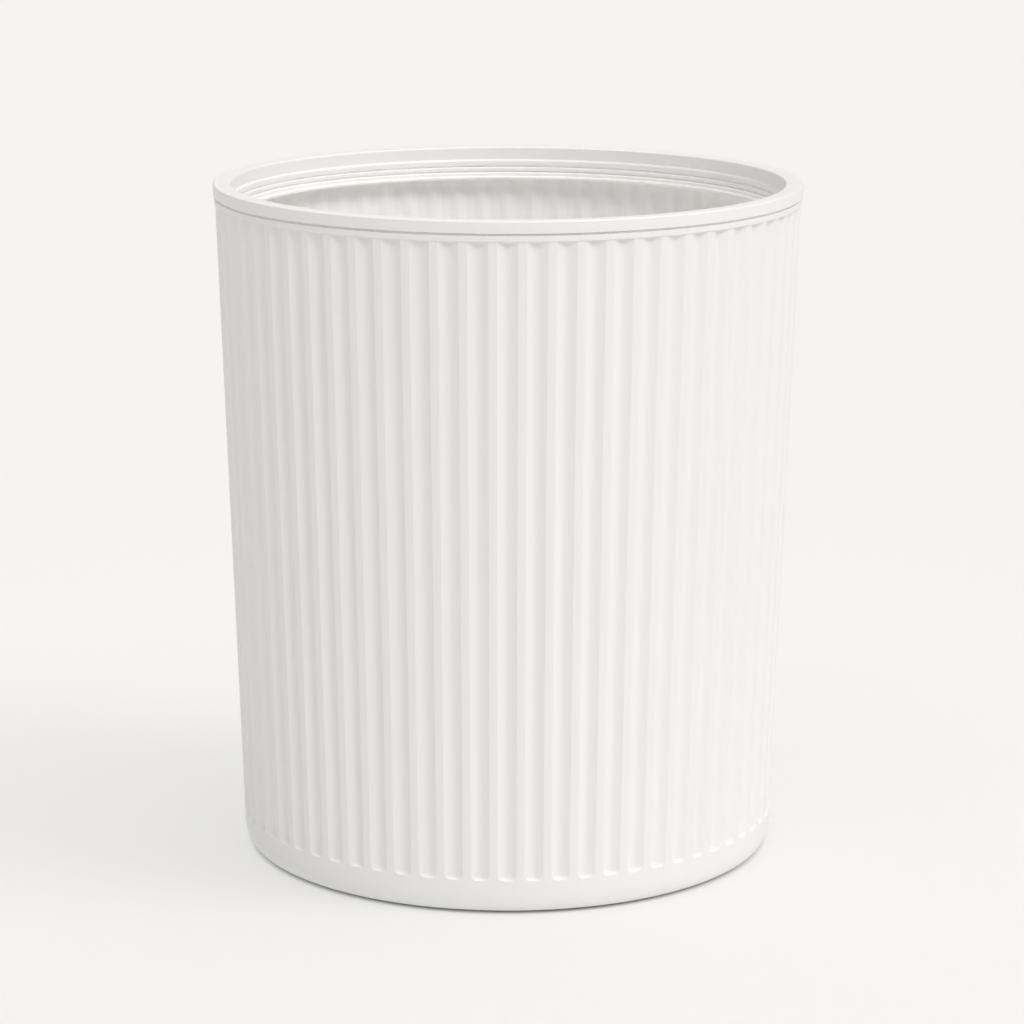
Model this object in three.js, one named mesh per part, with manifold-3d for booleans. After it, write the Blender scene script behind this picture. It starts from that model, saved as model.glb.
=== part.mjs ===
// Round office wastebasket: a fluted plastic basket, a lift-off ring that clamps the
// liner over the rim, and four non-slip pads let into the underside.
// Millimetres, +Z up. The origin is on the floor, on the basket's axis; -Y is the front.

import * as THREE from 'three';
import { mergeVertices } from 'three/addons/utils/BufferGeometryUtils.js';
import Module from 'manifold-3d';

const wasm = await Module();
wasm.setup();

// ---------------------------------------------------------------- driving dimensions

const overallHeight = 300; // floor to the ring's top face
const ringDiameter = 260; // across the outside of the ring
const sideDraft = 1.85; // taper of the body's side, in degrees

const wall = 2; // side wall, the same in a flute and on a land
const floorThickness = 2.8;
const floorCrown = 1.6; // rise of the floor's centre, for stiffness
const crownInset = 34; // from the body's side to where the crown begins
const bottomRound = 8; // height of the rounded-under bottom edge
const bottomRoundInset = 4.5; // how far that edge draws in
const insideRound = 5; // inside corner between wall and floor

const fluteCount = 66;
const fluteShare = 0.7; // part of each pitch taken by the hollow, the rest is land
const fluteDepth = 1.8;
const fluteRunOut = 1.5; // height in which a flute's lower end comes out to the surface
const baseBand = 14.6; // plain band between the underside and the flutes

const collarInset = 0.5; // the collar stands this far inside the ring's outside
const collarHeight = 2.3;
const collarProud = 0.35; // the collar stands this far out of the lands under it
const collarStep = 0.3; // height of the ledge at the flutes' square upper ends

const ringTopWidth = 7.8; // flat top of the ring
const ringRound = 1.0; // rounding of its upper edges
const ringFlangeHeight = 5.3; // outside lip of the ring
const ringLipThickness = 2;
const ringTopThickness = 2.5;
const ringSkirtThickness = 2.4;
const ringSkirtDepth = 15; // top face to the skirt's lower end
const ringPlainDepth = 6; // top face to the foot of the plain inside face
const beadInset = 1.2; // the upper bead stands this far inside the mouth
const beadHeight = 2.4;
const lowerBeadInset = 0.5; // the lower bead stands this much further in
const lowerBeadHeight = 1.5;
const beadGroove = 0.5; // depth of the groove under each bead
const beadSlope = 0.6; // height of each sloping step in the skirt
const bandInset = 0.9; // the band under the beads stands this much further in
const hemInset = 1.6; // the hem at the skirt's foot stands this much further in
const hemHeight = 1.5;

const partingGap = 0.9; // open joint between the ring's lip and the collar
const ringFit = 0.4; // clearance on each side of the rim lip, in the ring's channel
const ringSeat = 0.3; // clearance between the rim lip and the channel's ceiling

const padCount = 4;
const padDiameter = 16;
const padThickness = 2.4;
const padStand = 1; // how far a pad stands out of the underside
const padInset = 20; // from the body's side to a pad's centre
const padRound = 0.4; // chamfer round a pad's lower edge
const padFit = 0.3; // clearance round and over a pad in its recess

const ringSegments = 72;
const padSegments = 24;

// ---------------------------------------------------------------- sizes worked out

const ringRadius = ringDiameter / 2;
const mouthRadius = ringRadius - ringTopWidth;
const underside = padStand;
const collarTop = overallHeight - ringFlangeHeight - partingGap;
const collarBase = collarTop - collarHeight;
const collarRadius = ringRadius - collarInset;
const channelCeiling = overallHeight - ringTopThickness;
const lipTop = channelCeiling - ringSeat;
const lipOuterRadius = ringRadius - ringLipThickness - ringFit;
const lipInnerRadius = mouthRadius + ringSkirtThickness + ringFit;
const floorTop = underside + floorThickness;

/** Outside radius of the tapered side at height z, on a land. */
function sideRadius(z) {
  const drawIn = (collarTop - z) * Math.tan(THREE.MathUtils.degToRad(sideDraft));
  return collarRadius - collarProud - drawIn;
}

const baseRadius = sideRadius(underside);

// ---------------------------------------------------------------- geometry helpers

/** Closed solid from any three.js geometry, for the boolean cuts. */
function toSolid(geometry) {
  const bare = geometry.clone();
  bare.deleteAttribute('normal');
  bare.deleteAttribute('uv');
  const merged = mergeVertices(bare, 1e-4);
  return new wasm.Manifold(
    new wasm.Mesh({
      numProp: 3,
      vertProperties: new Float32Array(merged.attributes.position.array),
      triVerts: new Uint32Array(merged.index.array),
    })
  );
}

/** Back from a solid to a three.js geometry with flat normals. */
function toGeometry(solid) {
  const mesh = solid.getMesh();
  const geometry = new THREE.BufferGeometry();
  geometry.setAttribute('position', new THREE.BufferAttribute(mesh.vertProperties, 3));
  geometry.setIndex(new THREE.BufferAttribute(mesh.triVerts, 1));
  const flat = geometry.toNonIndexed();
  flat.computeVertexNormals();
  return flat;
}

/** Profile of [radius, height] pairs turned round the Z axis, starting at the front. */
function turned(profile, segments) {
  const points = profile.map(([radius, height]) => new THREE.Vector2(radius, height));
  return new THREE.LatheGeometry(points, segments).rotateX(Math.PI / 2);
}

/** Quarter of an ellipse in a profile, from one angle to another, in degrees. */
function roundCorner(radius, height, reach, rise, from, to, steps) {
  const points = [];
  for (let step = 0; step <= steps; step += 1) {
    const angle = THREE.MathUtils.degToRad(THREE.MathUtils.lerp(from, to, step / steps));
    points.push([radius + reach * Math.cos(angle), height + rise * Math.sin(angle)]);
  }
  return points;
}

function named(name, geometry, material) {
  const mesh = new THREE.Mesh(geometry, material);
  mesh.name = name;
  return mesh;
}

// ---------------------------------------------------------------- materials

const whitePlastic = new THREE.MeshStandardMaterial({ color: 0xece9e6, roughness: 0.5 });
const padRubber = new THREE.MeshStandardMaterial({ color: 0xb9b6b0, roughness: 0.85 });

// ---------------------------------------------------------------- basket body

/**
 * The body's section from the underside's centre, up the outside, over the rim lip and
 * down the inside to the floor's centre. Each point also says how much of the flute's
 * depth it takes: 1 on the fluted wall, 0 elsewhere.
 */
function bodySection() {
  const plain = ([radius, height]) => [radius, height, 0];
  const fluted = ([radius, height]) => [radius, height, 1];
  const fluteBottom = underside + baseBand;
  const fluteFull = fluteBottom + fluteRunOut;
  const crownRadius = baseRadius - crownInset;
  const cornerRadius = sideRadius(underside + bottomRound) - bottomRoundInset;
  const insideRadius = (z) => sideRadius(z) - wall;
  const insideCorner = insideRadius(floorTop + insideRound) - insideRound;
  const lipFoot = collarBase;
  return [
    plain([0, underside + floorCrown]),
    plain([crownRadius, underside]),
    ...roundCorner(cornerRadius, underside + bottomRound, bottomRoundInset, bottomRound, -90, 0, 3)
      .map(plain),
    plain([sideRadius(fluteBottom), fluteBottom]),
    fluted([sideRadius(fluteFull), fluteFull]),
    fluted([sideRadius(collarBase - collarStep), collarBase - collarStep]),
    plain([collarRadius, collarBase]),
    plain([collarRadius, collarTop]),
    plain([lipOuterRadius, collarTop]),
    plain([lipOuterRadius, lipTop]),
    plain([lipInnerRadius, lipTop]),
    plain([lipInnerRadius, lipFoot]),
    fluted([insideRadius(lipFoot - wall), lipFoot - wall]),
    fluted([insideRadius(fluteFull), fluteFull]),
    ...roundCorner(insideCorner, floorTop + insideRound, insideRound, insideRound, 0, -90, 2)
      .map(plain),
    plain([crownRadius, floorTop]),
    plain([0, floorTop + floorCrown]),
  ];
}

/**
 * Columns across one pitch, from one edge of the hollow to the other: each gives its
 * place in the pitch and the share of the full depth there.
 */
function fluteColumns() {
  const halfHollow = fluteShare / 2;
  return [-1, -1 / 3, 1 / 3, 1].map((across) => ({
    place: across * halfHollow,
    depth: 1 - across * across,
  }));
}

/** Body turned with four columns to a pitch, then drawn in where the flutes are. */
function flutedShell() {
  const section = bodySection();
  const columns = fluteColumns();
  const geometry = turned(section, fluteCount * columns.length);
  const position = geometry.attributes.position;
  const pitch = (2 * Math.PI) / fluteCount;
  for (let index = 0; index < position.count; index += 1) {
    const [radius, height, share] = section[index % section.length];
    const turn = Math.floor(index / section.length);
    const { place, depth } = columns[turn % columns.length];
    const angle = (Math.floor(turn / columns.length) + place) * pitch;
    const drawn = radius - share * fluteDepth * depth;
    position.setXYZ(index, drawn * Math.sin(angle), -drawn * Math.cos(angle), height);
  }
  return geometry;
}

/** Calls make(x, y, index) at each pad's place: on the diagonals, near the base's edge. */
function atPads(make) {
  const placeRadius = baseRadius - padInset;
  const made = [];
  for (let index = 0; index < padCount; index += 1) {
    const angle = ((index + 0.5) / padCount) * 2 * Math.PI;
    made.push(make(placeRadius * Math.sin(angle), -placeRadius * Math.cos(angle), index));
  }
  return made;
}

/** Cutter for one pad's recess, open below and padFit clear of the pad all round. */
function padRecess(x, y) {
  const radius = padDiameter / 2 + padFit;
  const top = padThickness + padFit;
  const below = underside - padStand / 2;
  const cutter = new THREE.CylinderGeometry(radius, radius, top - below, padSegments);
  cutter.rotateX(Math.PI / 2).translate(x, y, (top + below) / 2);
  return toSolid(cutter);
}

function basketBody() {
  let solid = toSolid(flutedShell());
  for (const recess of atPads(padRecess)) solid = solid.subtract(recess);
  return named('basket_body', toGeometry(solid), whitePlastic);
}

// ---------------------------------------------------------------- liner ring

/** A bead on the skirt: down its crest, then back into the groove under it. */
function bead(crestRadius, top, height) {
  return [
    [crestRadius, top],
    [crestRadius, top - height + beadSlope],
    [crestRadius + beadGroove, top - height],
  ];
}

/** The ring's section: an inverted channel over the rim lip with a beaded inner skirt. */
function ringSection() {
  const top = overallHeight;
  const flangeBottom = top - ringFlangeHeight;
  const skirtBottom = top - ringSkirtDepth;
  const lipInside = ringRadius - ringLipThickness;
  const upperBead = mouthRadius - beadInset;
  const upperBeadTop = top - ringPlainDepth - beadSlope;
  const lowerBead = upperBead - lowerBeadInset;
  const lowerBeadTop = upperBeadTop - beadHeight - beadSlope;
  const band = lowerBead - bandInset;
  const bandTop = lowerBeadTop - lowerBeadHeight - beadSlope;
  const hem = band - hemInset;
  const hemTop = skirtBottom + hemHeight;
  return [
    [ringRadius, flangeBottom],
    ...roundCorner(ringRadius - ringRound, top - ringRound, ringRound, ringRound, 0, 90, 2),
    ...roundCorner(mouthRadius + ringRound, top - ringRound, ringRound, ringRound, 90, 180, 2),
    [mouthRadius, top - ringPlainDepth],
    ...bead(upperBead, upperBeadTop, beadHeight),
    ...bead(lowerBead, lowerBeadTop, lowerBeadHeight),
    [band, bandTop],
    [band, hemTop + beadSlope],
    [hem, hemTop],
    [hem, skirtBottom],
    [band + ringSkirtThickness, skirtBottom],
    [band + ringSkirtThickness, bandTop],
    [mouthRadius + ringSkirtThickness, flangeBottom],
    [mouthRadius + ringSkirtThickness, channelCeiling],
    [lipInside, channelCeiling],
    [lipInside, flangeBottom],
    [ringRadius, flangeBottom],
  ];
}

function linerRing() {
  return named('liner_ring', turned(ringSection(), ringSegments), whitePlastic);
}

// ---------------------------------------------------------------- non-slip pads

/** A flat disc, chamfered where it meets the floor, centred in its recess. */
function footPad(x, y, index) {
  const radius = padDiameter / 2;
  const geometry = turned(
    [
      [0, 0],
      [radius - padRound, 0],
      [radius, padRound],
      [radius, padThickness],
      [0, padThickness],
    ],
    padSegments
  );
  geometry.translate(x, y, 0);
  return named(`foot_pad_${index + 1}`, geometry, padRubber);
}

// ---------------------------------------------------------------- assembly

const wastebasket = new THREE.Group();
wastebasket.name = 'wastebasket';
wastebasket.add(basketBody(), linerRing(), ...atPads(footPad));

export default wastebasket;
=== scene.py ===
"""A round fluted plastic wastebasket with a lift-off liner ring, in a plain studio.

The file follows the basket as it is put together: the moulded body, the ring that drops over
its rim, the pads under its base, and then the studio. Lengths are metres, written as
millimetres times mm. +Z is up, -Y is the front and the floor is at zero.
"""

import math

import bpy
from mathutils import Matrix, Vector


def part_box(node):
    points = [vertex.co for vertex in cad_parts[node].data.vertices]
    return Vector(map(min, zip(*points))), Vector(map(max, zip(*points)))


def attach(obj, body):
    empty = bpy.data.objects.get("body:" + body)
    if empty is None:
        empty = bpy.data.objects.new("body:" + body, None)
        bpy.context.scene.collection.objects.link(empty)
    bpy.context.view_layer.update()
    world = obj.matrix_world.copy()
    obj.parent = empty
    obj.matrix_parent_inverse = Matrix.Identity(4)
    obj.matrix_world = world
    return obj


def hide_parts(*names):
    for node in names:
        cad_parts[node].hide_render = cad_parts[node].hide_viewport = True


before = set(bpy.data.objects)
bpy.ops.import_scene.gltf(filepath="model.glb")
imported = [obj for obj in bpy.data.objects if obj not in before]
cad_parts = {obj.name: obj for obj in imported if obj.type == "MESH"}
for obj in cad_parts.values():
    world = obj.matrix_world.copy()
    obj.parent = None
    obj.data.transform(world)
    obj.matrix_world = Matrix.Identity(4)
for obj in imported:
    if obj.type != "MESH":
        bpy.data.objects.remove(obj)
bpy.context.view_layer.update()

mm = 0.001

# ------------------------------------------------------------------------ basket body
# One injection moulding in white polypropylene: a tapered wall with a hollow flute pressed
# into it all round, a plain band and a rounded edge at the base, and a thin lip at the rim.
# The wall keeps its thickness, so each flute shows inside as a soft rib.

body_low, body_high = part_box("basket_body")
ring_low, ring_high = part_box("liner_ring")

underside = body_low.z
lip_top = body_high.z
collar_radius = ring_high.x - 0.5 * mm
collar_top = ring_high.z - 6.2 * mm
collar_base = collar_top - 2.3 * mm
collar_proud = 0.35 * mm
lip_outer_radius = ring_high.x - 2.4 * mm
lip_inner_radius = ring_high.x - 5 * mm

side_draft = math.radians(1.85)
wall = 2 * mm
floor_top = underside + 2.8 * mm
crown = 1.6 * mm
crown_inset = 34 * mm

flute_count = 66
flute_share = 0.7
flute_depth = 1.8 * mm
flute_floor_round = 2.2 * mm
flute_foot = underside + 14.6 * mm
flute_foot_round = 2.4 * mm
flute_scoop = 1.8 * mm
flute_edge_softness = 0.06 * mm

pad_fit = 0.3 * mm
pad_sides = 64


def add(tree, kind, inputs=(), output=0, **settings):
    """Adds one node to a tree, sets or links its inputs, and returns one of its outputs."""
    made = tree.nodes.new(kind)
    for name, value in settings.items():
        setattr(made, name, value)
    for socket, value in dict(inputs).items():
        if isinstance(value, bpy.types.NodeSocket):
            tree.links.new(value, made.inputs[socket])
        else:
            made.inputs[socket].default_value = value
    return made.outputs[output] if made.outputs else None


def colour(hex_code):
    """An sRGB hex colour as linear red, green, blue and alpha."""
    channels = [int(hex_code[i : i + 2], 16) / 255 for i in (1, 3, 5)]
    linear = [c / 12.92 if c <= 0.04045 else ((c + 0.055) / 1.055) ** 2.4 for c in channels]
    return (*linear, 1.0)


def rounded(corners, steps=4):
    """Turns (radius, height, fillet) corners into points, with an arc at each fillet. The
    first and last corners are neighbours, so a loop can have fillets all round."""
    points = []
    for index, (radius, height, fillet) in enumerate(corners):
        here = Vector((radius, height))
        if not fillet:
            points.append(here)
            continue
        before = (Vector(corners[index - 1][:2]) - here).normalized()
        after = (Vector(corners[(index + 1) % len(corners)][:2]) - here).normalized()
        half = before.angle(after) / 2
        middle = here + (before + after).normalized() * (fillet / math.sin(half))
        start = here + before * (fillet / math.tan(half)) - middle
        end = here + after * (fillet / math.tan(half)) - middle
        for step in range(steps + 1):
            points.append(middle + start.slerp(end, step / steps) * fillet)
    return points


def chain(name, points, **shares):
    """A line of points, with one number of each named kind stored on every point."""
    mesh = bpy.data.meshes.new(name)
    edges = [(i, i + 1) for i in range(len(points) - 1)]
    mesh.from_pydata([(p[0], p[1], p[2] if len(p) > 2 else 0.0) for p in points], edges, [])
    for share, values in shares.items():
        stored = mesh.attributes.new(share, "FLOAT", "POINT")
        stored.data.foreach_set("value", values)
    made = bpy.data.objects.new(name, mesh)
    bpy.context.scene.collection.objects.link(made)
    return made


def new_tree(name, **inputs):
    """A geometry tree with the named inputs; returns it with its group input's outputs."""
    tree = bpy.data.node_groups.new(name, "GeometryNodeTree")
    for label, kind in inputs.items():
        tree.interface.new_socket(label, in_out="INPUT", socket_type="NodeSocket" + kind)
    tree.interface.new_socket("Made", in_out="OUTPUT", socket_type="NodeSocketGeometry")
    return tree, tree.nodes.new("NodeGroupInput").outputs


def turned_wall_tree():
    """Turns a section round the axis. Across each repeat it places the columns of Outline,
    whose points hold (place in the repeat, depth outside, depth inside)."""
    tree, given = new_tree(
        "turned wall",
        Section="Geometry",
        Outline="Object",
        Repeats="Int",
        Depth="Float",
        Material="Material",
    )
    outline = add(tree, "GeometryNodeObjectInfo", {"Object": given["Outline"]}, "Geometry")
    size_of = "GeometryNodeAttributeDomainSize"
    rows = add(tree, size_of, {"Geometry": given["Section"]}, "Point Count")
    columns = add(tree, size_of, {"Geometry": outline}, "Point Count")

    def whole(operation, first, second):
        return add(tree, "FunctionNodeIntegerMath", {0: first, 1: second}, operation=operation)

    def real(operation, *values):
        return add(tree, "ShaderNodeMath", dict(enumerate(values)), operation=operation)

    turns = whole("MULTIPLY", given["Repeats"], columns)
    grid = add(
        tree,
        "GeometryNodeMeshGrid",
        {"Vertices X": whole("ADD", turns, 1), "Vertices Y": rows},
        "Mesh",
    )
    index = add(tree, "GeometryNodeInputIndex")
    row = whole("MODULO", index, rows)
    turn = whole("DIVIDE_FLOOR", index, rows)
    column = whole("MODULO", turn, columns)
    repeat = whole("DIVIDE_FLOOR", turn, columns)

    def sampled(geometry, field, at, kind):
        sources = {"Geometry": geometry, "Value": field, "Index": at}
        return add(tree, "GeometryNodeSampleIndex", sources, data_type=kind)

    def share(name):
        named = {"Name": name}
        field = add(tree, "GeometryNodeInputNamedAttribute", named, data_type="FLOAT")
        return sampled(given["Section"], field, row, "FLOAT")

    position = add(tree, "GeometryNodeInputPosition")
    section = sampled(given["Section"], position, row, "FLOAT_VECTOR")
    section = add(tree, "ShaderNodeSeparateXYZ", {0: section}).node.outputs
    across = sampled(outline, position, column, "FLOAT_VECTOR")
    across = add(tree, "ShaderNodeSeparateXYZ", {0: across}).node.outputs

    # Every column but the one at the pitch's edge moves in where a flute narrows.
    inner = real("LESS_THAN", real("ABSOLUTE", across["X"]), 0.499)
    kept = real("SUBTRACT", 1.0, real("MULTIPLY", inner, share("narrow")))
    place = real("MULTIPLY", across["X"], kept)
    depth = add(
        tree,
        "ShaderNodeMix",
        {"Factor": share("inside"), "A": across["Y"], "B": across["Z"]},
        data_type="FLOAT",
    )
    drawn = real("MULTIPLY", real("MULTIPLY", depth, share("flute")), given["Depth"])
    radius = real("SUBTRACT", section["X"], drawn)
    pitch = real("DIVIDE", 2 * math.pi, given["Repeats"])
    angle = real("MULTIPLY", real("ADD", repeat, place), pitch)
    to_front = real("MULTIPLY", radius, real("COSINE", angle))
    spot = add(
        tree,
        "ShaderNodeCombineXYZ",
        {
            "X": real("MULTIPLY", radius, real("SINE", angle)),
            "Y": real("MULTIPLY", to_front, -1.0),
            "Z": section["Y"],
        },
    )
    placed = add(tree, "GeometryNodeSetPosition", {"Geometry": grid, "Position": spot})
    weld = 0.002 * mm
    welded = add(tree, "GeometryNodeMergeByDistance", {"Geometry": placed, "Distance": weld})
    smooth = add(tree, "GeometryNodeSetShadeSmooth", {"Geometry": welded})
    plain = add(tree, "GeometryNodeRealizeInstances", {"Geometry": smooth})
    painting = {"Geometry": plain, "Material": given["Material"]}
    painted = add(tree, "GeometryNodeSetMaterial", painting)
    add(tree, "NodeGroupOutput", {"Made": painted})
    return tree


turned_wall = turned_wall_tree()


def settle(made, name):
    """Turns an object's modifiers into a plain mesh, under the piece's own name."""
    bpy.context.view_layer.update()
    depsgraph = bpy.context.evaluated_depsgraph_get()
    mesh = bpy.data.meshes.new_from_object(
        made.evaluated_get(depsgraph), preserve_all_data_layers=True, depsgraph=depsgraph
    )
    made.modifiers.clear()
    made.data = mesh
    made.name = mesh.name = name
    return made


def grow(made, tree, name, **given):
    """Runs a geometry tree on an object, with the given inputs, and settles it."""
    modifier = made.modifiers.new(tree.name, "NODES")
    modifier.node_group = tree
    for item in tree.interface.items_tree:
        if item.name in given:
            modifier[item.identifier] = given[item.name]
    return settle(made, name)


def even_and_settle(made, name, weight=60):
    """Shades the flat faces flat and the rounds round, then settles the object."""
    made.modifiers.new("even shading", "WEIGHTED_NORMAL").weight = weight
    settle(made, name)


def side_radius(height):
    """Outside radius of the tapered side, on a land between two flutes."""
    return collar_radius - collar_proud - (collar_top - height) * math.tan(side_draft)


def body_section():
    """The body's section from the middle of the underside, up over the rim, to the middle
    of the floor, with the numbers that say how it is fluted at each point."""
    points, flute, narrow, inside = [], [], [], []
    arc_steps = 8
    side_rows = 5
    inner_rows = 5

    def run(new, fluted=0.0, narrowed=0.0, within=0.0):
        for point in new:
            points.append(point)
            flute.append(fluted)
            narrow.append(narrowed)
            inside.append(within)

    step_radius = side_radius(underside) - crown_inset
    round_height = 9 * mm
    round_reach = 4.5 * mm
    foot_radius = side_radius(underside + round_height) - round_reach
    gate = 0.5 * mm
    under_dish = [
        (0, underside + crown - gate, 0),
        (2.6 * mm, underside + crown - gate, 0.3 * mm),
        (3 * mm, underside + crown, 0),
        (step_radius * 0.6, underside + crown - 0.1 * mm, 20 * mm),
        (step_radius - 1.2 * mm, underside + 1.1 * mm, 1.2 * mm),
        (step_radius, underside, 1 * mm),
        (foot_radius, underside, 0),
    ]
    run(rounded(under_dish, 3)[:-1])
    for step in range(arc_steps + 1):
        turn = math.pi / 2 * step / arc_steps
        radius = foot_radius + round_reach * math.sin(turn)
        run([(radius, underside + round_height * (1 - math.cos(turn)))])
    run([(side_radius(flute_foot - 0.4 * mm), flute_foot - 0.4 * mm)])

    half_width = flute_share * math.pi * side_radius(flute_foot) / flute_count
    for step in range(arc_steps + 1):
        rise = flute_foot_round * (1 - math.cos(math.pi / 2 * step / arc_steps))
        scoop = min(1.0, rise / flute_scoop)
        reach = flute_foot_round - rise
        drawn = flute_foot_round - math.sqrt(flute_foot_round**2 - reach**2)
        height = flute_foot + rise
        depth = math.sqrt(1 - (1 - scoop) ** 2)
        run([(side_radius(height), height)], depth, drawn / half_width)

    flute_head = collar_base - 0.12 * mm
    seat_radius = collar_radius - 0.8 * mm
    for step in range(1, side_rows + 1):
        height = flute_foot + flute_foot_round
        height += (flute_head - height) * step / side_rows
        run([(side_radius(height), height)], 1.0)

    over_rim = [
        (side_radius(collar_base), collar_base, 0),
        (collar_radius, collar_base, 0.2 * mm),
        (collar_radius, collar_top, 0.3 * mm),
        (seat_radius, collar_top, 0.2 * mm),
        (seat_radius, collar_top + 0.6 * mm, 0.1 * mm),
        (lip_outer_radius, collar_top + 0.6 * mm, 0.3 * mm),
        (lip_outer_radius, lip_top, 0.8 * mm),
        (lip_inner_radius, lip_top, 0.8 * mm),
        (lip_inner_radius, collar_base - 1 * mm, 0),
    ]
    run(rounded(over_rim, 3))

    rib_head = collar_base - 4 * mm
    rib_foot = flute_foot + 4 * mm
    for step in range(inner_rows):
        height = rib_head + (rib_foot - rib_head) * step / (inner_rows - 1)
        run([(side_radius(height) - wall, height)], 1.0, 0.0, 1.0)
    fade = floor_top + 7 * mm
    run([(side_radius(fade) - wall, fade)], 0.35, 0.0, 1.0)
    floor_radius = side_radius(floor_top) - wall
    over_floor = [
        (floor_radius + 0.2 * mm, floor_top + 6 * mm, 0),
        (floor_radius, floor_top, 5 * mm),
        (step_radius + 2 * mm, floor_top, 1 * mm),
        (step_radius - 0.5 * mm, floor_top + 1.1 * mm, 1.2 * mm),
        (step_radius * 0.5, floor_top + crown, 20 * mm),
        (0, floor_top + crown, 0),
    ]
    run(rounded(over_floor, 4)[1:])
    return points, {"flute": flute, "narrow": narrow, "inside": inside}


def flute_outline():
    """Columns across one pitch: outside, a rounded hollow whose sides run steeper towards
    its crisp edges; inside, the narrow rib that the wall makes behind it."""
    pitch = 2 * math.pi * side_radius((flute_foot + collar_base) / 2) / flute_count
    half_hollow = flute_share / 2 * pitch

    def rise(across):
        return math.hypot(across, flute_floor_round) - flute_floor_round

    beside = [0.012, 0.0, -0.012, -0.06, -0.15, -0.25]
    places = [-0.5] + [-flute_share / 2 - b for b in beside] + [0.0]
    places += [flute_share / 2 + b for b in reversed(beside)]
    points = []
    for place in places:
        fall = flute_depth * (1 - rise(abs(place) * pitch) / rise(half_hollow))
        hollow = (fall + math.hypot(fall, flute_edge_softness)) / 2
        rib = (0.5 + 0.5 * math.cos(2 * math.pi * place)) ** 2
        points.append((place, 0.0 if place == -0.5 else hollow / flute_depth, rib))
    return points


def satin_plastic(name, base, shade, grain_height, roughness):
    """White polypropylene moulded against a fine spark-eroded tool: an even satin with a
    faint grain and no hard gloss, rubbed a little duller in upright streaks by hands and
    bags. The real grain is about 0.1 mm across, too fine to show at arm's length, so it is
    drawn at 0.7 mm."""
    grain_size = 0.7 * mm
    cloud_size = 40 * mm
    material = bpy.data.materials.new(name)
    material.use_nodes = True
    tree = material.node_tree
    tree.nodes.clear()
    place = add(tree, "ShaderNodeTexCoord", output="Object")
    fine = {"Vector": place, "Scale": 1 / grain_size, "Detail": 2.0, "Roughness": 0.6}
    grain = add(tree, "ShaderNodeTexNoise", fine)
    broad = {"Vector": place, "Scale": 1 / cloud_size, "Detail": 3.0}
    cloud = add(tree, "ShaderNodeTexNoise", broad)
    mottle = add(tree, "ShaderNodeMath", {0: grain, 1: cloud}, operation="MULTIPLY")
    drawn_out = (1 / (2.5 * mm), 1 / (2.5 * mm), 1 / (70 * mm))
    drawn_out = add(tree, "ShaderNodeMapping", {"Vector": place, "Scale": drawn_out})
    rubbed = add(tree, "ShaderNodeTexNoise", {"Vector": drawn_out, "Scale": 1.0, "Detail": 3.0})
    limits = {"Value": rubbed, "From Min": 0.58, "From Max": 0.72}
    rubbed = add(tree, "ShaderNodeMapRange", limits)
    tint = add(
        tree,
        "ShaderNodeMix",
        {"Factor": mottle, 6: colour(base), 7: colour(shade)},
        2,
        data_type="RGBA",
    )
    rough = add(
        tree,
        "ShaderNodeMapRange",
        {"Value": cloud, "To Min": roughness - 0.04, "To Max": roughness + 0.05},
    )
    dulled = {0: rubbed, 1: 0.12, 2: rough}
    rough = add(tree, "ShaderNodeMath", dulled, operation="MULTIPLY_ADD")
    relief = {"Height": grain, "Strength": 1.0, "Distance": grain_height}
    relief = add(tree, "ShaderNodeBump", relief)
    finish = {"Base Color": tint, "Roughness": rough, "Normal": relief, "IOR": 1.49}
    surface = add(tree, "ShaderNodeBsdfPrincipled", finish)
    add(tree, "ShaderNodeOutputMaterial", {"Surface": surface})
    return material


def placed_turning_tree():
    """Turns a section into a small round part and sets one at each point of Places."""
    tree, given = new_tree(
        "placed turning",
        Section="Geometry",
        Outline="Object",
        Places="Object",
        Sides="Int",
        Material="Material",
    )
    turning = tree.nodes.new("GeometryNodeGroup")
    turning.node_tree = turned_wall
    for name, source in (
        ("Section", "Section"),
        ("Outline", "Outline"),
        ("Repeats", "Sides"),
        ("Material", "Material"),
    ):
        tree.links.new(given[source], turning.inputs[name])
    places = add(tree, "GeometryNodeObjectInfo", {"Object": given["Places"]}, "Geometry")
    spread = {"Points": places, "Instance": turning.outputs["Made"]}
    spread = add(tree, "GeometryNodeInstanceOnPoints", spread)
    plain = add(tree, "GeometryNodeRealizeInstances", {"Geometry": spread})
    painting = {"Geometry": plain, "Material": given["Material"]}
    add(tree, "NodeGroupOutput", {"Made": add(tree, "GeometryNodeSetMaterial", painting)})
    return tree


placed_turning = placed_turning_tree()
pad_boxes = [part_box(f"foot_pad_{number}") for number in range(1, 5)]
pad_radius = (pad_boxes[0][1].x - pad_boxes[0][0].x) / 2
pad_top = pad_boxes[0][1].z
pad_centres = [((low.x + high.x) / 2, (low.y + high.y) / 2) for low, high in pad_boxes]
pad_places = chain("pad places", pad_centres)
one_column = chain("one column", [(0.0, 0.0, 0.0)])

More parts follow.
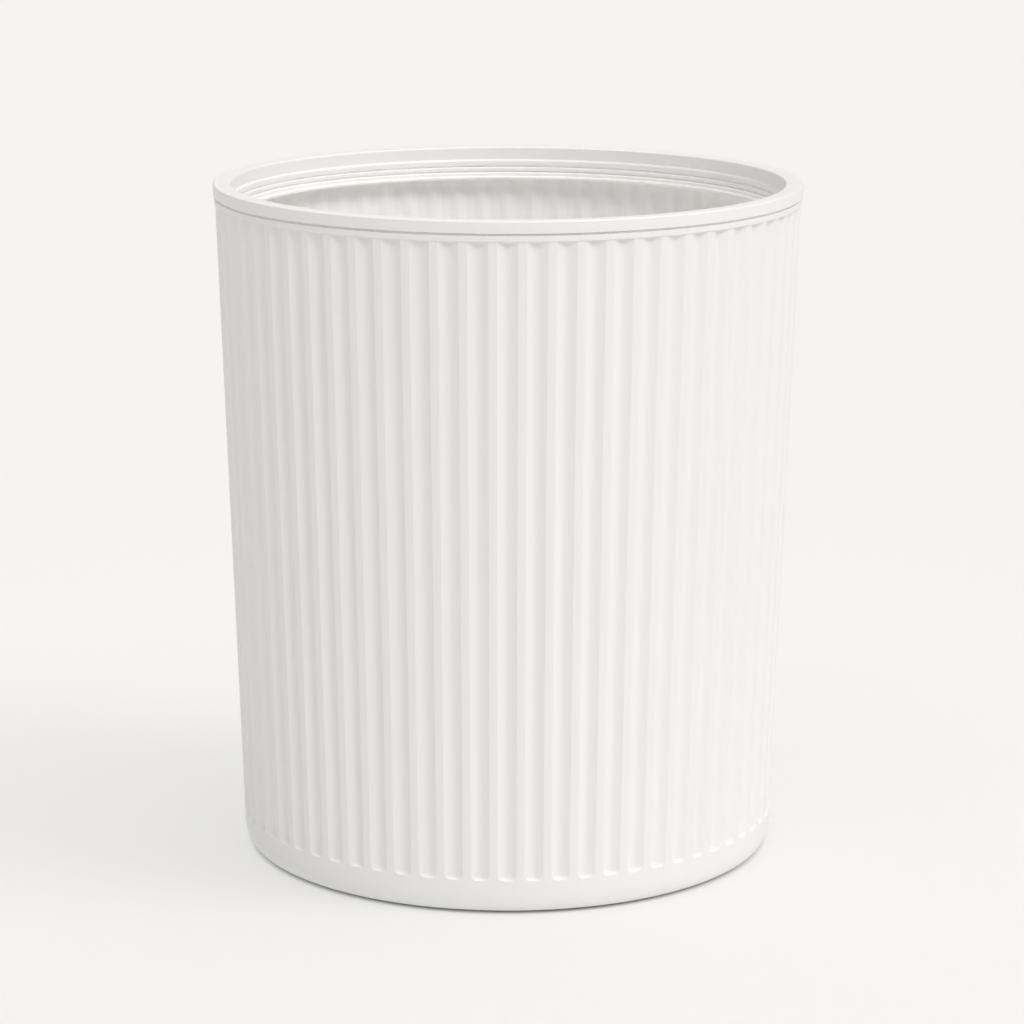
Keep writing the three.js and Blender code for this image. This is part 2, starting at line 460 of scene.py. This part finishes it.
body_plastic = satin_plastic("moulded_polypropylene", "#fdfdfc", "#fbfafa", 0.03 * mm, 0.5)
points, shares = body_section()
columns = chain("flute outline", flute_outline())
basket = grow(
    chain("body section", points, **shares),
    turned_wall,
    "fluted_basket",
    Outline=columns,
    Repeats=flute_count,
    Depth=flute_depth,
    Material=body_plastic,
)
recess = [
    (0, 0),
    (pad_radius + pad_fit, 0),
    (pad_radius + pad_fit, pad_top + pad_fit),
    (0, pad_top + pad_fit),
]
cutter = grow(
    chain("recess section", recess),
    placed_turning,
    "pad recesses",
    Outline=one_column,
    Places=pad_places,
    Sides=pad_sides,
    Material=body_plastic,
)
cut = basket.modifiers.new("pad recesses", "BOOLEAN")
cut.object = cutter
cut.operation = "DIFFERENCE"
cut.solver = "MANIFOLD"
even_and_settle(basket, "fluted_basket")
for spent in (cutter, columns):
    bpy.data.objects.remove(spent)
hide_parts("basket_body")
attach(basket, "basket")

# ------------------------------------------------------------------------- liner ring
# A second polypropylene moulding, set upside down over the rim like a cap. It traps the
# mouth of the bin bag and hides its edge, and it lifts straight off to change the bag.

ring_top = ring_high.z
ring_radius = ring_high.x
ring_foot = ring_low.z
mouth_radius = ring_radius - 7.8 * mm
flange_foot = ring_top - 5.3 * mm
channel_top = ring_top - 2.5 * mm
channel_outer = ring_radius - 2 * mm
channel_inner = mouth_radius + 2.4 * mm
band_radius = mouth_radius - 2.6 * mm
hem_radius = mouth_radius - 4.2 * mm


def ring_section():
    """The ring's section: up the outer lip, over the top, down the stepped inner skirt
    and back up through the channel that sits over the basket's rim."""
    top = ring_top
    upper_bead = mouth_radius - 1.2 * mm
    lower_bead = mouth_radius - 1.7 * mm
    corners = [
        (ring_radius, flange_foot, 0.45 * mm),
        (ring_radius, top, 0.7 * mm),
        (mouth_radius, top - 0.2 * mm, 0.7 * mm),
        (mouth_radius, top - 6.0 * mm, 0.4 * mm),
        (upper_bead, top - 6.4 * mm, 0.9 * mm),
        (upper_bead, top - 8.9 * mm, 0.6 * mm),
        (mouth_radius - 0.1 * mm, top - 9.2 * mm, 0.15 * mm),
        (lower_bead, top - 9.8 * mm, 0.3 * mm),
        (lower_bead, top - 11.2 * mm, 0.4 * mm),
        (mouth_radius - 0.5 * mm, top - 11.6 * mm, 0.15 * mm),
        (band_radius, top - 12.2 * mm, 0.4 * mm),
        (band_radius - 0.1 * mm, top - 13.5 * mm, 0.2 * mm),
        (hem_radius, top - 13.8 * mm, 0.35 * mm),
        (hem_radius, ring_foot, 0.4 * mm),
        (band_radius + 2.4 * mm, ring_foot, 0.4 * mm),
        (band_radius + 2.4 * mm, top - 11.5 * mm, 1.6 * mm),
        (channel_inner, flange_foot, 2 * mm),
        (channel_inner, channel_top, 0.4 * mm),
        (channel_outer, channel_top, 0.4 * mm),
        (channel_outer, flange_foot, 0.3 * mm),
    ]
    points = rounded(corners, 4)
    return points + points[:1]


ring_plastic = satin_plastic("ring_polypropylene", "#fdfdfc", "#fbfafa", 0.02 * mm, 0.42)
ring = grow(
    chain("ring section", ring_section()),
    turned_wall,
    "stepped_liner_ring",
    Outline=one_column,
    Repeats=360,
    Material=ring_plastic,
)
even_and_settle(ring, "stepped_liner_ring")
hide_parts("liner_ring")
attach(ring, "ring")

# ----------------------------------------------------------------------- non-slip pads
# Soft rubber discs, moulded with a shallow tread and glued into recesses in the base. They
# lift the basket a millimetre off the floor.


def pad_section():
    """A disc with a rounded foot, a flat rim and two round grooves in its tread."""
    groove = 0.45 * mm
    corners = [(0, 0, 0), (1.5 * mm, 0, 0.15 * mm), (1.9 * mm, groove, 0.15 * mm)]
    for inner in (2.6 * mm, 5.0 * mm):
        corners += [
            (inner, groove, 0.15 * mm),
            (inner + 0.4 * mm, 0, 0.15 * mm),
            (inner + 1.3 * mm, 0, 0.15 * mm),
            (inner + 1.7 * mm, groove, 0.15 * mm),
        ]
    corners = corners[:-2] + [
        (pad_radius, 0, 0.4 * mm),
        (pad_radius, pad_top, 0.3 * mm),
        (0, pad_top, 0),
    ]
    return rounded(corners, 3)


def moulded_rubber(name, base, shade):
    """Thermoplastic rubber, moulded matt: no gloss, a dusty bloom and a fine pebble grain
    about a quarter of a millimetre across."""
    material = bpy.data.materials.new(name)
    material.use_nodes = True
    tree = material.node_tree
    tree.nodes.clear()
    place = add(tree, "ShaderNodeTexCoord", output="Object")
    pebble = {"Vector": place, "Scale": 1 / (0.25 * mm)}
    pebble = add(tree, "ShaderNodeTexVoronoi", pebble, "Distance")
    bloom = {"Vector": place, "Scale": 1 / (5 * mm), "Detail": 4.0}
    bloom = add(tree, "ShaderNodeTexNoise", bloom)
    tint = {"Factor": bloom, 6: colour(base), 7: colour(shade)}
    tint = add(tree, "ShaderNodeMix", tint, 2, data_type="RGBA")
    relief = {"Height": pebble, "Strength": 1.0, "Distance": 0.03 * mm}
    relief = add(tree, "ShaderNodeBump", relief)
    finish = {"Base Color": tint, "Roughness": 0.82, "Normal": relief, "IOR": 1.5}
    surface = add(tree, "ShaderNodeBsdfPrincipled", finish)
    add(tree, "ShaderNodeOutputMaterial", {"Surface": surface})
    return material


pads = grow(
    chain("pad section", pad_section()),
    placed_turning,
    "non_slip_pads",
    Outline=one_column,
    Places=pad_places,
    Sides=pad_sides,
    Material=moulded_rubber("moulded_rubber", "#bab7b2", "#a9a6a1"),
)
even_and_settle(pads, "non_slip_pads", weight=50)
for spent in (pad_places, one_column):
    bpy.data.objects.remove(spent)
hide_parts(*[f"foot_pad_{number}" for number in range(1, 5)])
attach(pads, "basket")

# -------------------------------------------------------------------- floor and studio
# A seamless sheet of pale matt paper. It glows faintly all round the basket, painted light that
# brightens the paper and softens the shadows on it, and stays dark under the basket as a
# painted contact shadow. A very broad light hangs overhead, a softer one stands on the right,
# and a smaller one at the front right is flagged off the paper.

floor_size = 30.0
# Strength of the paper's painted glow, which stands in for light.
painted_glow_strength = 0.29


def studio_floor():
    """A large pale floor that runs out of the picture on every side."""
    half = floor_size / 2
    mesh = bpy.data.meshes.new("studio_floor")
    corners = [(-half, -half, 0), (half, -half, 0), (half, half, 0), (-half, half, 0)]
    mesh.from_pydata(corners, [], [(0, 1, 2, 3)])
    made = bpy.data.objects.new("studio_floor", mesh)
    bpy.context.scene.collection.objects.link(made)
    material = bpy.data.materials.new("backdrop_paper")
    material.use_nodes = True
    tree = material.node_tree
    tree.nodes.clear()
    place = add(tree, "ShaderNodeTexCoord", output="Object")
    # The sheet's painted glow fades out just inside the basket's footprint, leaving a painted
    # contact shadow there.
    reach = add(tree, "ShaderNodeVectorMath", {0: place}, "Value", operation="LENGTH")
    footprint = side_radius(underside)
    limits = {"Value": reach, "From Min": footprint - 6 * mm, "From Max": footprint - mm}
    glow = add(tree, "ShaderNodeMapRange", limits | {"To Max": painted_glow_strength})
    sheet = {"Base Color": colour("#d9d9d9"), "Roughness": 0.95, "Specular IOR Level": 0.0}
    sheet |= {"Emission Color": colour("#ffffff"), "Emission Strength": glow}
    surface = add(tree, "ShaderNodeBsdfPrincipled", sheet)
    add(tree, "ShaderNodeOutputMaterial", {"Surface": surface})
    mesh.materials.append(material)


def sun(name, azimuth, elevation, spread, strength, only=()):
    """A distant soft light; azimuth is measured from the front towards the right. It can
    be flagged off everything but a few objects."""
    lamp = bpy.data.lights.new(name, "SUN")
    lamp.angle = math.radians(spread)
    lamp.energy = strength
    lamp.color = colour("#fffdfb")[:3]
    made = bpy.data.objects.new(name, lamp)
    bpy.context.scene.collection.objects.link(made)
    turn = math.radians(azimuth)
    rise = math.radians(elevation)
    flat = math.cos(rise)
    towards = Vector((flat * math.sin(turn), -flat * math.cos(turn), math.sin(rise)))
    made.rotation_euler = towards.to_track_quat("Z", "Y").to_euler()
    if only:
        made.light_linking.receiver_collection = bpy.data.collections.new(name)
    for lit in only:
        made.light_linking.receiver_collection.objects.link(lit)


def studio_sky(strength):
    world = bpy.data.worlds.new("studio sky")
    bpy.context.scene.world = world
    world.use_nodes = True
    tree = world.node_tree
    tree.nodes.clear()
    glow = {"Color": colour("#ffffff"), "Strength": strength}
    glow = add(tree, "ShaderNodeBackground", glow)
    add(tree, "ShaderNodeOutputWorld", {"Surface": glow})


studio_floor()
studio_sky(0.13)
sun("overhead light", azimuth=90, elevation=89, spread=100, strength=2.08)
sun("key light", azimuth=74, elevation=40, spread=30, strength=0.5)
pieces = [basket, ring, pads]
sun("front light", azimuth=30, elevation=47, spread=20, strength=0.78, only=pieces)

lens = bpy.data.cameras.new("studio camera")
lens.sensor_width = 36.0
lens.lens = 123.7
camera = bpy.data.objects.new("studio camera", lens)
bpy.context.scene.collection.objects.link(camera)
camera.location = (1.9 * mm, -1547 * mm, 500.6 * mm)
tilt = Matrix.Rotation(math.radians(90 - 12.78), 4, "X")
roll = Matrix.Rotation(math.radians(0.083), 4, "Z")
camera.rotation_euler = (tilt @ roll).to_euler()
bpy.context.scene.camera = camera
bpy.context.scene.view_settings.view_transform = "Standard"
# Light goes many times from wall to wall inside a white basket.
bpy.context.scene.cycles.diffuse_bounces = 12
